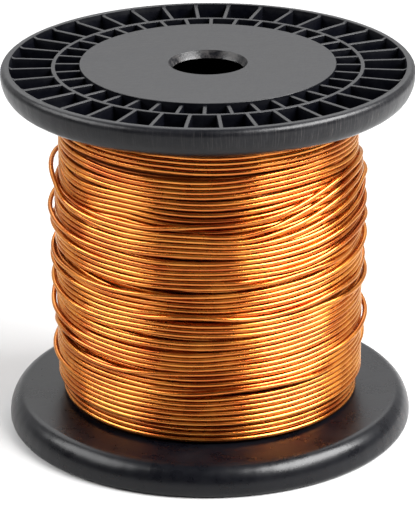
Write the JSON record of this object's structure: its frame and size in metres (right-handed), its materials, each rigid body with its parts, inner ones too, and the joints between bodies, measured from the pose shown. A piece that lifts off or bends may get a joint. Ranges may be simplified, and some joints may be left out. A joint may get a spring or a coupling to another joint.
{
  "type": "wire spool",
  "caption": "Round wire spool: ribbed plastic flanges with an arbor hole on a hollow barrel, wound in layers with enamelled copper wire.",
  "frame": {"origin": "centre of the lower flange's outer face, on the surface that the spool stands on", "axes": "+Z along the spool's axis, from the lower flange to the upper one; X and Y are equal"},
  "size_m": [0.165, 0.165, 0.1524],
  "materials": {
    "flange_plastic": "black moulded plastic, satin, lightly scuffed on the rim",
    "barrel_plastic": "black moulded plastic, plain",
    "enamelled_copper": "drawn copper under clear amber enamel, glossy"
  },
  "bodies": {
    "root": {"lower_flange": "flange_plastic", "upper_flange": "flange_plastic", "barrel": "barrel_plastic", "wire_layer_1": "enamelled_copper", "wire_layer_2": "enamelled_copper", "wire_layer_3": "enamelled_copper", "wire_layer_4": "enamelled_copper", "wire_layer_5": "enamelled_copper", "wire_layer_6": "enamelled_copper", "wire_layer_7": "enamelled_copper", "wire_layer_8": "enamelled_copper", "wire_start_end": "enamelled_copper"}
  },
  "joints": []
}
